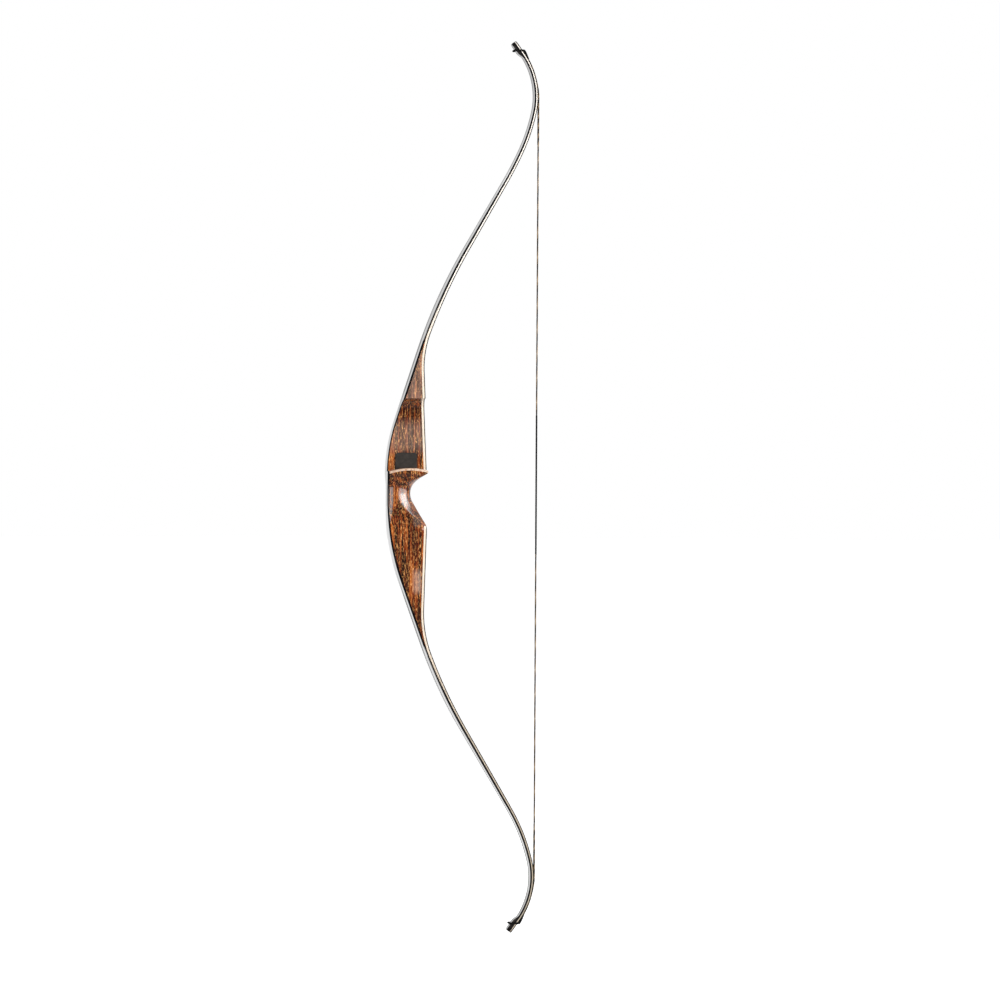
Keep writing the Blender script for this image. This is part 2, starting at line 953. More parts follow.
@dataclass(frozen=True)
class Glass:
    """Glass-fibre laminate: fine threads along the limb under a clear or satin face."""

    name: str
    body: Triple
    thread: Triple
    rough: float
    coat: float
    grip_end: Pair = (0.1, 0.17)
    riser_end: Pair = (0.25, 0.3)
    near_edge: Pair = (-0.0135, -0.0105)
    inner_edge: Pair = (-1.0, -0.8)
    bare_face: Pair = (-0.004, 0.009)
    lacquered_face: Pair = (-0.004, 0.006)

    def build(self) -> bpy.types.Material:
        """Mix the finish: glossy on the grip, and on the limb fading across its width.

        Returns:
            The material.
        """
        m = Mixer(self.name)
        lay = m.place("lay")
        threads = m.noise(lay, (1800.0, 2600.0, 14.0), 3.0, 0.6)
        wisps = m.noise(lay, (260.0, 420.0, 3.0), 3.0, 0.6)
        across, along = m.parts(lay)[1:]
        up = m.sum("ABSOLUTE", along)
        worn = m.most(m.remap(up, *self.riser_end), m.remap(across, *self.near_edge))
        grip = m.remap(up, *self.grip_end, 1.0, 0.0)
        inner = m.remap(m.parts(m.place("edge"))[1], *self.inner_edge)
        bare = m.times(m.remap(across, *self.bare_face, 0.7, 0.03), inner)
        lacquer = m.times(m.remap(across, *self.lacquered_face, self.coat, 0.0), inner)
        m.bump(threads, 0.05, 0.00005)
        return m.set(
            Base_Color=m.ramp(m.times(threads, wisps), [(0.2, self.body), (0.36, self.thread)]),
            Roughness=m.remap(wisps, 0.3, 0.7, self.rough * 0.85, self.rough * 1.2),
            Specular_IOR_Level=m.times(m.most(grip, bare), worn),
            Coat_Weight=m.times(m.most(m.times(grip, self.coat), lacquer), worn),
            Coat_Roughness=0.04,
        )


@dataclass(frozen=True)
class Leather:
    """Matte charcoal leather with a fine grain and rubbed edges."""

    body: Triple = (0.015, 0.0125, 0.0105)
    worn: Triple = (0.034, 0.028, 0.0235)

    def build(self) -> bpy.types.Material:
        """Mix the finish.

        Returns:
            The material.
        """
        m = Mixer("side_plate_leather")
        place = m.place()
        grain = m.noise(place, (1500.0, 1500.0, 1500.0), 4.0, 0.65)
        cloud = m.noise(place, (130.0, 130.0, 130.0), 3.0, 0.5)
        m.bump(grain, 0.5, 0.0003)
        return m.set(
            Base_Color=m.ramp(m.times(grain, cloud), [(0.14, self.body), (0.36, self.worn)]),
            Roughness=m.remap(grain, 0.3, 0.7, 0.62, 0.85),
            Specular_IOR_Level=0.2,
        )


@dataclass(frozen=True)
class Thread:
    """Waxed thread: fibres run along each strand."""

    name: str
    dark: Triple
    pale: Triple
    rough: float = 0.5

    def build(self) -> bpy.types.Material:
        """Mix the finish.

        Returns:
            The material.
        """
        m = Mixer(self.name)
        lay = m.place("lay")
        fibres = m.noise(lay, (1.6, 1.6, 60.0), 3.0, 0.6)
        wax = m.noise(lay, (0.2, 0.2, 400.0), 2.0, 0.5)
        m.bump(fibres, 0.35, 0.0001)
        return m.set(
            Base_Color=m.ramp(fibres, [(0.32, self.dark), (0.62, self.pale)]),
            Roughness=m.remap(wax, 0.3, 0.7, self.rough * 0.8, self.rough * 1.2),
            Specular_IOR_Level=0.04,
        )


class Finishes:
    """Every finish of the bow, made once."""

    def __init__(self) -> None:
        """Make the finishes."""
        self.wood = RiserWood().build()
        self.maple = Maple().build()
        glass = (
            Glass("black_glass", (0.003, 0.003, 0.0035), (0.012, 0.0115, 0.012), 0.1, 1.0),
            Glass("belly_glass", (0.008, 0.008, 0.007), (0.02, 0.019, 0.016), 0.14, 0.0),
            Glass("tip_overlay", (0.007, 0.006, 0.006), (0.03, 0.025, 0.022), 0.2, 1.0),
        )
        self.back, self.belly, self.overlay = (kind.build() for kind in glass)
        self.plate = Leather().build()
        thread = (
            Thread("string_black", (0.003, 0.003, 0.003), (0.011, 0.011, 0.011)),
            Thread("string_bronze", (0.08, 0.05, 0.026), (0.34, 0.235, 0.135)),
            Thread("serving_thread", (0.003, 0.003, 0.003), (0.01, 0.01, 0.011)),
        )
        self.black, self.bronze, self.serving = (kind.build() for kind in thread)


def dress(piece: bpy.types.Object, finish: bpy.types.Material, slot: Slot, node: str) -> None:
    """Give a piece its finish, and name the record's slot and the node that it stands for.

    Args:
        piece: The piece.
        finish: Its finish.
        slot: The record's material slot.
        node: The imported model's node.
    """
    piece.data.materials.clear()
    piece.data.materials.append(finish)
    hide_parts(node)
    LOG.info("%s: %d faces", piece.name, len(piece.data.polygons))


# Riser


@dataclass(frozen=True)
class Ring:
    """One level of the riser: its height on each side and how far it reaches to -Y."""

    window_z: float
    far_z: float
    reach: float
    layered: bool


class Face(Enum):
    """Faces between the layers on the riser, from its back to its belly."""

    BACK = 0
    WOOD_BACK = 1
    CORE_BACK = 2
    CORE_BELLY = 3
    BELLY = 4
    GRIP = 5


@dataclass
class Riser:
    """The worked handle, with throat, palm, shelf and window, and the strips glued on it."""

    finishes: Finishes
    neck: float = 0.029
    belly_round: float = 0.028
    back_round: float = 0.012
    back_side: float = 0.006
    neck_flat: float = 0.002
    throat_half: float = 0.009
    heel_fade: float = 0.014
    shelf_roll: float = 0.0046
    shelf_inner: float = 0.0012
    shelf_step: float = 0.004
    crown_fade: float = 0.016
    crown_hold: float = 0.12
    crown_lift: float = 0.0002
    window_top: float = 0.138
    window_r: float = 0.0175
    edge: float = 0.0003
    grip_blend: float = 0.0024
    reach: float = 0.275
    far: float = 0.34
    heel: float = 0.053326
    nose: float = 0.033446
    gap: float = 0.0001
    point_gap: float = 0.0004
    back_most: float = 0.9
    belly_most: float = 0.98
    full: float = 1.0
    coarse: float = 0.004
    fine: float = 0.0016
    roll_steps: int = 6
    shelf_steps: int = 5
    inner_steps: int = 4
    ramp_steps: int = 11
    ramp_out: tuple[Pair, ...] = ((0.0001, 0.0008), (0.0004, 0.0002))
    ramp_end: float = 0.001
    across_steps: int = 4
    wall_steps: int = 7
    belly_steps: int = 16
    settle: int = 4
    web: tuple[Pair, ...] = ((38.0, 0.027), (57.0, 0.048))
    palm: tuple[Pair, ...] = ((28.5, 0.028),)
    tables: dict[Face | str, np.ndarray] = field(default_factory=dict)
    heights: np.ndarray = field(default_factory=lambda: np.arange(-0.30, 0.30, 0.00025))

    def __post_init__(self) -> None:
        """Tabulate every face, the half width and the share of the grip by height."""
        z = self.heights
        up = np.abs(z)
        pairs = {
            Face.BACK: 0, Face.WOOD_BACK: 1, Face.CORE_BACK: -1, Face.CORE_BELLY: 2, Face.BELLY: 3
        }
        for face, index in pairs.items():
            self.tables[face] = np.where(z >= 0, UPPER.face(index, up), LOWER.face(index, up))
        grip = np.where(z >= 0, grip_curve(self.web, up), grip_curve(self.palm, up))
        belly = self.tables[Face.BELLY]
        soft = self.grip_blend
        share = np.clip(0.5 + 0.5 * (belly - grip) / soft, 0, 1)
        self.tables[Face.GRIP] = belly + (grip - belly) * share - soft * share * (1 - share)
        along = np.linspace(0, self.far, TABLE_POINTS)
        half = np.zeros_like(z)
        for limb in (UPPER, LOWER):
            line = np.array([limb.place(s)[1] for s in along])
            s = np.interp(up, line, along)
            wide = np.array([BLANK.half_at(limb.length - v) for v in s])
            half = np.where(np.sign(z + 1e-9) == limb.side.value, wide, half)
        end = np.where(z > 0, self.nose, self.heel + self.heel_fade)
        t = np.clip((end - up) / (end - self.throat_half), 0, 1)
        self.tables["share"] = t * t * (3 - 2 * t)
        self.tables["half"] = half + (self.neck / 2 - half) * self.tables["share"]

    def at(self, key: Face | str, z: float) -> float:
        """Return a tabulated value at a height."""
        return float(np.interp(z, self.heights, self.tables[key]))

    def rings(self, low: float, high: float) -> list[Ring]:
        """List the levels between two heights, finer at the shelf and the window's top.

        Args:
            low: The lower height.
            high: The upper height.

        Returns:
            The levels, from below.
        """
        levels: list[Ring] = []

        def plain(a: float, b: float, step: float, reach: float, layered: bool) -> None:
            """Add even levels from one height to another.

            Args:
                a: The lower height.
                b: The upper height.
                step: The greatest distance between two levels.
                reach: How far they reach to the window.
                layered: Whether the strips on the belly are there.
            """
            count = max(1, ceil((b - a) / step))
            for k in range(count):
                z = mix(a, b, k / count)
                levels.append(Ring(z, z, reach, layered))

        def worked(profile: list[Pair], a: float, b: float, first: int) -> None:
            """Add the levels of a form on the window side.

            Args:
                profile: The height and reach of each level on that side.
                a: The lower height on the far side.
                b: The upper height on the far side.
                first: Which level is the first with strips on the belly.
            """
            for k, (z, reach) in enumerate(profile):
                far = mix(a, b, k / len(profile))
                if k == first > 0:
                    levels.append(Ring(z, far, reach, False))
                levels.append(Ring(z, far, reach, k >= first))

        roll, inner, window = self.shelf_roll, self.shelf_inner, SHELF.window
        foot = SHELF.top - roll
        half = self.at("half", foot)
        shelf: list[Pair] = []
        for k in range(self.roll_steps + 1):
            a = radians(90 * k / self.roll_steps)
            shelf.append((foot + roll * sin(a), half - roll * (1 - cos(a))))
        for k in range(1, self.shelf_steps):
            shelf.append((SHELF.top, mix(half - roll, window + inner, k / self.shelf_steps)))
        mark = len(shelf)
        for k in range(self.inner_steps + 1):
            a = radians(90 * k / self.inner_steps)
            shelf.append((SHELF.top + inner * (1 - cos(a)), window + inner * (1 - sin(a))))
        top = SHELF.top + self.shelf_step
        ramp: list[Pair] = []
        size = self.window_r
        for k in range(self.ramp_steps + 1):
            a = radians(90 * k / self.ramp_steps)
            ramp.append((self.window_top + size * sin(a), window + size * (1 - cos(a))))
        last = ramp[-1][0]
        wide = self.at("half", last)
        ramp += [(last + rise, wide - short) for rise, short in self.ramp_out]
        ramp.append((last + self.ramp_end, self.full))
        end = last + self.coarse
        plain(-self.reach, -self.heel - self.gap, self.coarse, self.full, True)
        plain(-self.heel + self.gap, foot, self.fine, self.full, False)
        worked(shelf, foot, top, mark)
        plain(top, self.window_top, 0.75 * self.coarse, window, True)
        worked(ramp, self.window_top, end, 0)
        plain(end, self.reach, self.coarse, self.full, True)
        inside = [ring for ring in levels if low < ring.far_z < high]
        return [Ring(low, low, self.full, True)] + inside + [Ring(high, high, self.full, True)]

    def crown(self, x: float) -> float:
        """Return the height of the crowned shelf from its crest, which is negative beside it."""
        return sqrt(max(SHELF.crown_r**2 - (x - SHELF.crown_x) ** 2, 0.0)) - SHELF.crown_r

    def points(self) -> list[tuple[str, float, int]]:
        """List the points round a level.

        Returns:
            For each, the part of the outline, the share of it and the side.
        """
        flat, wall, curve = self.across_steps, self.wall_steps, self.belly_steps
        half = [("back", k / flat) for k in range(flat + 1)]
        half += [("back_corner", k / wall) for k in range(1, wall + 1)]
        half += [("wall", k / wall) for k in range(1, wall)]
        half += [("belly_corner", k / curve) for k in range(curve + 1)]
        half += [("belly", k / flat) for k in range(1, flat + 1)]
        window = [(part, share, -1) for part, share in half]
        far = [(part, share, 1) for part, share in reversed(half[1:-1])]
        return window + far

    def spot(self, ring: Ring, point: tuple[str, float, int], first: Face, last: Face) -> Vector:
        """Return one vertex of a layer of the riser.

        Args:
            ring: The level.
            point: The part of the outline, the share of it and the side.
            first: The layer's face nearer the back.
            last: The layer's face nearer the belly.

        Returns:
            The vertex's place.
        """
        part, share, side = point
        z = ring.far_z if side > 0 else ring.window_z
        x, y = 0.0, 0.0
        for _ in range(self.settle):
            g = self.at("share", z)
            back = self.at(Face.BACK, z)
            belly = min(self.at(Face.GRIP, z), self.at(Face.BELLY, z))
            half = self.at("half", z)
            reach = {1: half, -1: min(half, ring.reach)}
            wide = reach[side]
            back_r = (mix(self.edge, self.back_round, g), mix(self.edge, self.back_side, g))
            round_y = half - self.neck_flat / 2
            front_r = (mix(self.edge, self.belly_round, g), mix(self.edge, round_y, g))
            back_r = (back_r[0], min(back_r[1], wide * self.back_most))
            front_r = (front_r[0], min(front_r[1], wide * self.belly_most))
            if part == "back":
                x, y = back, (wide - back_r[1]) * share
            elif part == "back_corner":
                a = radians(90 * share)
                x, y = back + back_r[0] * (1 - cos(a)), wide - back_r[1] * (1 - sin(a))
            elif part == "wall":
                x, y = mix(back + back_r[0], belly - front_r[0], share), wide
            elif part == "belly_corner":
                a = radians(90 * share)
                x, y = belly - front_r[0] * (1 - sin(a)), wide - front_r[1] * (1 - cos(a))
            else:
                x, y = belly, (wide - front_r[1]) * (1 - share)
            low = max(self.at(first, z), back)
            high = min(self.at(last, z), belly)
            high = max(high, low)
            if not low <= x <= high:
                x = min(max(x, low), high)
                edge = self.width_at(x, back, belly, wide, back_r, front_r)
                if part == "back":
                    y = edge * share
                elif part == "belly":
                    y = edge * (1 - share)
                else:
                    y = edge
            total = reach[1] + reach[-1]
            over = eased((side * y + reach[-1]) / total)
            near = ring.window_z + self.crown(x) * self.crown_share(ring.window_z)
            z = mix(near, ring.far_z, over)
        return Vector((x, side * y, z))

    @staticmethod
    def width_at(
        x: float, back: float, belly: float, wide: float, back_r: Pair, front_r: Pair
    ) -> float:
        """Find half the width of the outline at a place between back and belly.

        Args:
            x: The place.
            back: Where the back is.
            belly: Where the belly is.
            wide: Half the width of the walls.
            back_r: How far the corners at the back reach, along x and y.
            front_r: How far the corners at the belly reach.

        Returns:
            Half the width.
        """
        if x < back + back_r[0]:
            t = 1 - (x - back) / back_r[0]
            return wide - back_r[1] * (1 - sqrt(max(1 - t * t, 0.0)))
        if x > belly - front_r[0]:
            t = 1 - (belly - x) / front_r[0]
            return wide - front_r[1] * (1 - sqrt(max(1 - t * t, 0.0)))
        return wide

    def crown_share(self, z: float) -> float:
        """Return how much of the shelf's crown a level follows."""
        return eased(1 - abs(z - SHELF.top - self.crown_lift) / self.crown_fade + self.crown_hold)

    def layer(self, name: str, first: Face, last: Face, levels: list[Ring]) -> bpy.types.Object:
        """Wrap one layer of the riser between two of its faces, level by level.

        Args:
            name: Name of the piece.
            first: The layer's face nearer the back.
            last: The layer's face nearer the belly.
            levels: The levels, from below.

        Returns:
            The layer.
        """
        rows = []
        for ring in levels:
            bare = first is Face.WOOD_BACK and not ring.layered
            front = Face.GRIP if bare else last
            rows.append([self.spot(ring, point, first, front) for point in self.points()])
        places = np.array(rows)
        return Desk.wrap(name, places, places)

    def fade_z(self, limb: LimbLine) -> float:
        """Return the height at which the riser wood ends in the limb, with its sign."""
        return limb.side.value * (limb.below(limb.fade, BLANK.back_glass)[1] + self.point_gap)

    def build(self) -> None:
        """Make the wood and the strips that are glued on it, and dress them."""
        top, bottom = self.fade_z(UPPER), self.fade_z(LOWER)
        whole = self.rings(bottom, top)
        every = self.rings(-self.reach, self.reach)
        above = [ring for ring in every if ring.layered and 0 < ring.far_z < top]
        above.append(Ring(top, top, self.full, True))
        below = self.rings(bottom, -self.heel - self.gap)
        finish = self.finishes
        plans = [
            ("riser_wood_worked", Face.WOOD_BACK, whole, finish.wood, Slot.WOOD, "riser"),
            ("back_glass_grip", Face.BACK, whole, finish.back, Slot.BACK, "back_glass_riser"),
        ]
        for word, levels in (("upper", above), ("lower", below)):
            plans += [
                (
                    f"core_{word}_root_strip", Face.CORE_BACK, levels,
                    finish.maple, Slot.MAPLE, f"core_root_{word}",
                ),
                (
                    f"belly_glass_{word}_root_strip", Face.CORE_BELLY, levels,
                    finish.belly, Slot.BELLY, f"belly_glass_root_{word}",
                ),
            ]
        for name, first, levels, material, slot, node in plans:
            piece = self.layer(name, first, Face(first.value + 1), levels)
            dress(piece, material, slot, node)
            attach(piece, "riser")


# Limbs


@dataclass
class Limb:
    """One laminated limb past the riser: back glass, core, belly glass and tip overlay."""

    line: LimbLine
    finishes: Finishes
    edge: float = 0.00025
    overlay_len: float = 0.03
    overlay_ramp: float = 0.012
    overlay_h: float = 0.0036
    overlay_round: float = 0.0013
    overlay_start: float = 0.00025
    overlay_step: float = 0.0012
    overlay_tail: float = 0.0075
    overlay_power: float = 0.9
    overlay_nose: float = 0.004
    overlay_low: float = 0.72
    loop_gap: float = 0.0006
    loop_slope: float = 0.009
    nock_gap: float = 0.0003
    join_run: float = 0.0075
    join_lay: float = 0.006
    flex_gap: float = 0.004
    hook_before: float = 0.02
    tip_gap: float = 0.001
    tip_steps: int = 9
    long_step: float = 0.0055
    short_step: float = 0.0022
    file_sides: int = 56
    crisp: float = 15.0

    @property
    def side(self) -> Side:
        """The side of the bow that this limb is on."""
        return self.line.side

    def half_width(self, s: float) -> float:
        """Find half the width of the limb, with its round end.

        Args:
            s: The length along the limb.

        Returns:
            Half the width.
        """
        size = BLANK.half_at(self.line.length - s)
        middle = self.line.length - BLANK.tip_width / 2
        if s > middle:
            r = BLANK.half_at(BLANK.tip_width / 2)
            size = min(size, sqrt(max(r * r - (s - middle) ** 2, 1e-8)))
        return size

    def lengths(self, start: float) -> list[float]:
        """List the lengths along the limb at which its strips get a cross-section.

        Args:
            start: The first length.

        Returns:
            The lengths, closer together on the recurve and the tip.
        """
        end = self.line.length
        hook = end - BLANK.hook_len - self.hook_before
        middle = end - BLANK.tip_width / 2
        stops = list(np.arange(start, hook, self.long_step))
        stops += list(np.arange(hook, middle - self.tip_gap, self.short_step))
        reach = BLANK.half_at(BLANK.tip_width / 2)
        last = np.arcsin(BLANK.tip_width / 2 / reach)
        stops += [middle + reach * sin(a) for a in np.linspace(0, last, self.tip_steps)]
        return [float(s) for s in stops if s >= start]

    def strip(self, name: str, face: int, riser: Riser) -> Strip:
        """Plan one layer from the end of the riser wood to the tip.

        Args:
            name: Name of the piece.
            face: The layer's face nearer the back: 0, 1 or 2.
            riser: The riser that the layer meets.

        Returns:
            The strip.
        """
        join = abs(riser.fade_z(self.line))
        faces = (Face.BACK, Face.WOOD_BACK, Face.CORE_BELLY, Face.BELLY)
        low, high, wide = (
            riser.at(key, self.side.value * join) for key in (faces[face], faces[face + 1], "half")
        )
        stations = [Station((low + high) / 2, join, 0.0, high - low, 2 * wide, join)]
        start = self.line.fade + self.join_run
        for s in self.lengths(start):
            depths = self.line.depths(s)
            x, z = self.line.below(s, (depths[face] + depths[face + 1]) / 2)
            thick = depths[face + 1] - depths[face]
            along = join + s - start + self.join_lay
            stations.append(
                Station(x, z, self.line.place(s)[2], thick, 2 * self.half_width(s), along)
            )
        back, belly = ((self.edge, 0.0), (0.0, 0.0), (0.0, self.edge))[face]
        return Strip(name, self.side, stations, round_back=back, round_belly=belly)

    def overlay(self) -> Strip:
        """Plan the wedge on the back of the tip.

        Returns:
            The wedge.
        """
        end = self.line.length
        start = end - self.overlay_len
        count = int((self.overlay_len - self.overlay_tail) / self.overlay_step)
        stops = [start + k * self.overlay_step for k in range(count)]
        stops += self.lengths(end - BLANK.tip_width / 2)
        stations = [self.overlay_station(s, start) for s in stops]
        name = f"tip_overlay_{self.side.word}_wedge"
        return Strip(name, self.side, stations, round_back=self.overlay_round)

    def overlay_station(self, s: float, start: float) -> Station:
        """Plan one cross-section of the wedge.

        Args:
            s: The length along the limb.
            start: The length at which the wedge starts.

        Returns:
            The cross-section.
        """
        share = min(1.0, (s - start) / self.overlay_ramp) ** self.overlay_power
        rise = mix(self.overlay_start, self.overlay_h, eased(share))
        close = min(1.0, (self.line.length - s) / self.overlay_nose)
        rise *= mix(self.overlay_low, 1.0, sqrt(max(1 - (1 - close) ** 2, 0.0)))
        x, z = self.line.below(s, -rise / 2)
        return Station(x, z, self.line.place(s)[2], rise, 2 * self.half_width(s), s)

    def leg(self, share: float, across: int) -> Vector:
        """Find a point on a leg of the string loop.

        Args:
            share: The share of the way from the belly, 0, to the back, 1.
            across: The side of the limb: -1 or 1.

        Returns:
            The point.
        """
        nock = self.line.length - BLANK.nock
        wide = across * BLANK.half_at(BLANK.nock)
        out = self.loop_gap + BLANK.splice_r
        slope = self.loop_slope / 2
        belly = self.line.spot(nock - slope, BLANK.contact_depth + out, wide)
        back = self.line.spot(nock + slope, -self.overlay_h - out, wide)
        return belly.lerp(back, share)

    def groove_tool(self) -> bpy.types.Object:
        """Make the two round files that cut the string nocks.

        Returns:
            The files, as one piece.
        """
        Desk.clear()
        rods = []
        for across in (-1, 1):
            a, b = self.leg(-1, across), self.leg(2, across)
            turn = (b - a).to_track_quat("Z", "Y").to_euler()
            bpy.ops.mesh.primitive_cylinder_add(
                vertices=self.file_sides, radius=BLANK.splice_r + self.nock_gap, depth=(b - a).length,
                location=(a + b) / 2, rotation=turn,
            )
            rods.append(Desk.named("nock_file"))
        for rod in rods:
            rod.select_set(True)
        bpy.ops.object.join()
        bpy.ops.object.transform_apply(location=True, rotation=True, scale=True)
        return bpy.context.object

    def build(self, riser: Riser) -> None:
        """Make the strips and the overlay, cut the nocks and let the limb flex.

        Args:
            riser: The riser that the strips meet.
        """
        word, up, finish = self.side.word, self.side.value, self.finishes
        tool = self.groove_tool()
        flex_from = abs(riser.fade_z(self.line)) + self.flex_gap
        layers = (
            ("back_glass", finish.back, Slot.BACK), ("core", finish.maple, Slot.MAPLE),
            ("belly_glass", finish.belly, Slot.BELLY),
        )
        plans = [
            (self.strip(f"{node}_{word}_strip", face, riser), material, slot, node)
            for face, (node, material, slot) in enumerate(layers)
        ]
        plans.append((self.overlay(), finish.overlay, Slot.OVERLAY, "tip_overlay"))
        for plan, material, slot, node in plans:
            piece = plan.draw_out()
            Desk.cut(piece, tool)
            plan.write_lay(piece)
            Desk.smooth(piece, self.crisp)
            dress(piece, material, slot, f"{node}_{word}")
            if slot is Slot.OVERLAY:
                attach(piece, f"{word}_limb")
            else:
                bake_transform(piece)
        Desk.discard(tool)


# Side plate


@dataclass
class SidePlate:
    """The charcoal pad on the sight window, just above the shelf."""

    finishes: Finishes
    length: float = 0.036
    height: float = 0.025
    thick: float = 0.0016
    corner: float = 0.005
    middle: float = -0.0075
    gap: float = 0.0003
    lip: float = 0.00045
    lip_steps: int = 4
    corner_steps: int = 10
    crisp: float = 40.0
    file_sides: int = 512
    file_length: float = 0.08
    spare: float = 0.012
    near: float = 1e-4

    def build(self) -> None:
        """Cut the pad from sheet, round its top corners, fit it to the shelf and soften it."""
        Desk.clear()
        foot = SHELF.top - self.spare
        top = SHELF.top + self.height
        bpy.ops.mesh.primitive_cube_add(size=1.0)
        piece = Desk.named("side_plate_pad")
        bpy.ops.object.mode_set(mode="EDIT")
        bpy.ops.mesh.select_all(action="SELECT")
        bpy.ops.transform.resize(value=(self.length, self.thick, top - foot))
        bpy.ops.transform.translate(
            value=(self.middle, -SHELF.window - self.thick / 2, (top + foot) / 2)
        )
        for way in (-1, 1):
            edge_x = self.middle + way * self.length / 2
            Desk.pick(lambda co: co.z > top - self.near and abs(co.x - edge_x) < self.near)
            bpy.ops.mesh.select_mode(type="EDGE")
            bpy.ops.mesh.bevel(offset=self.corner, segments=self.corner_steps, affect="EDGES")
        bpy.ops.object.mode_set(mode="OBJECT")
        Desk.clear()
        bpy.ops.mesh.primitive_cylinder_add(
            vertices=self.file_sides, radius=SHELF.crown_r + self.gap, depth=self.file_length,
            location=(SHELF.crown_x, 0.0, SHELF.top - SHELF.crown_r), rotation=(pi / 2, 0.0, 0.0),
        )
        tool = Desk.named("shelf_file")
        Desk.cut(piece, tool)
        Desk.discard(tool)
        Desk.hold(piece)
        soften = piece.modifiers.new("soften", "BEVEL")
        soften.width = self.lip
        soften.segments = self.lip_steps
        soften.limit_method = "ANGLE"
        soften.angle_limit = radians(self.crisp)
        bpy.ops.object.modifier_apply(modifier=soften.name)
        Desk.smooth(piece, self.crisp)
        dress(piece, self.finishes.plate, Slot.PLATE, "side_plate")
        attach(piece, "riser")


# String


@dataclass
class Rope:
    """Strands twisted round a path."""

    path: list[Vector]
    reach: list[float]
    pitch: list[float]
    phase: float = 0.0
    around: int = 12
    wide: float = 0.84
    pinch: float = 0.18
    fibres: float = 4.0
    caps: tuple[Pair, ...] = ((0.55, 0.4), (0.02, 0.5))
    crisp: float = 60.0

    def frames(self) -> list[tuple[Vector, Vector, Vector, float]]:
        """Follow the path without turning round it.

        Returns:
            The place, two directions square to the path and the length at each point.
        """
        found = []
        length = 0.0
        side = Vector((0.0, 1.0, 0.0))
        for i, at in enumerate(self.path):
            ahead = self.path[min(i + 1, len(self.path) - 1)] - self.path[max(i - 1, 0)]
            ahead.normalize()
            if i:
                length += (at - self.path[i - 1]).length
            side = (side - ahead * side.dot(ahead)).normalized()
            found.append((at, side.copy(), ahead.cross(side), length))
        return found

    def strand(self, name: str, index: int, count: int) -> bpy.types.Object:
        """Wrap one strand.

        Args:
            name: Name of the piece.
            index: Which strand it is.
            count: How many strands are twisted together.

        Returns:
            The strand, with fibres laid along it.
        """
        rows, lays = [], []
        turn = self.phase + 2 * pi * index / count
        last = 0.0
        for i, (at, n, b, length) in enumerate(self.frames()):
            turn += 2 * pi * (length - last) / self.pitch[i]
            last = length
            out = n * cos(turn) + b * sin(turn)
            over = -n * sin(turn) + b * cos(turn)
            r = self.reach[i]
            row, lay = [], []
            for k in range(self.around):
                a = 2 * pi * k / self.around
                deep = 0.5 * cos(a)
                wide = self.wide * sin(a) * (1 - self.pinch * cos(a))
                row.append(at + out * (r * (0.5 + deep)) + over * (r * wide))
                lay.append(Vector((self.fibres * cos(a), self.fibres * sin(a), length)))
            rows.append(row)
            lays.append(lay)
        for end, inward in ((0, 1), (-1, -2)):
            middle = sum((p for p in rows[end]), Vector()) / self.around
            step = (self.path[end] - self.path[inward]).normalized() * self.reach[end]
            cap, tip = (
                [middle + (p - middle) * size + step * out for p in rows[end]]
                for size, out in self.caps
            )
            mark = lays[end]
            if end == 0:
                rows = [tip, cap] + rows
                lays = [mark, mark] + lays
            else:
                rows = rows + [cap, tip]
                lays = lays + [mark, mark]
        piece = Desk.wrap(name, np.array(rows), np.array(lays))
        Desk.smooth(piece, self.crisp)
        return piece


def rounded(
    corners: list[Vector], radius: float, step: float, most: float = 0.48, steps: int = 8
) -> list[Vector]:
    """Return a path through corners that are rounded off, in even small steps.

    Args:
        corners: The corners of the path.
        radius: How far before and after each corner its round begins.
        step: Distance between two points of the result.
        most: The greatest share of a side that a round may take.
        steps: How many steps each round is worked out in.

    Returns:
        The points of the path.
    """
    rough = [corners[0]]
    for before, at, after in zip(corners, corners[1:], corners[2:]):
        size = min(radius, (at - before).length * most, (after - at).length * most)
        a = at + (before - at).normalized() * size
        b = at + (after - at).normalized() * size
        for k in range(steps + 1):
            t = k / steps
            rough.append(a * (1 - t) ** 2 + at * (2 * t * (1 - t)) + b * t**2)
    rough.append(corners[-1])
    lengths = [0.0]
    for a, b in zip(rough, rough[1:]):
        lengths.append(lengths[-1] + (b - a).length)
    count = max(2, round(lengths[-1] / step))
    stops = np.linspace(0, lengths[-1], count + 1)
    table = np.array([tuple(p) for p in rough])
    return [Vector([float(np.interp(s, lengths, table[:, k])) for k in range(3)]) for s in stops]


@dataclass(frozen=True)
class Tail:
    """The short end of a spliced strand: its height, direction, reach and shade."""

    height: float
    turn: float
    reach: float
    shade: str


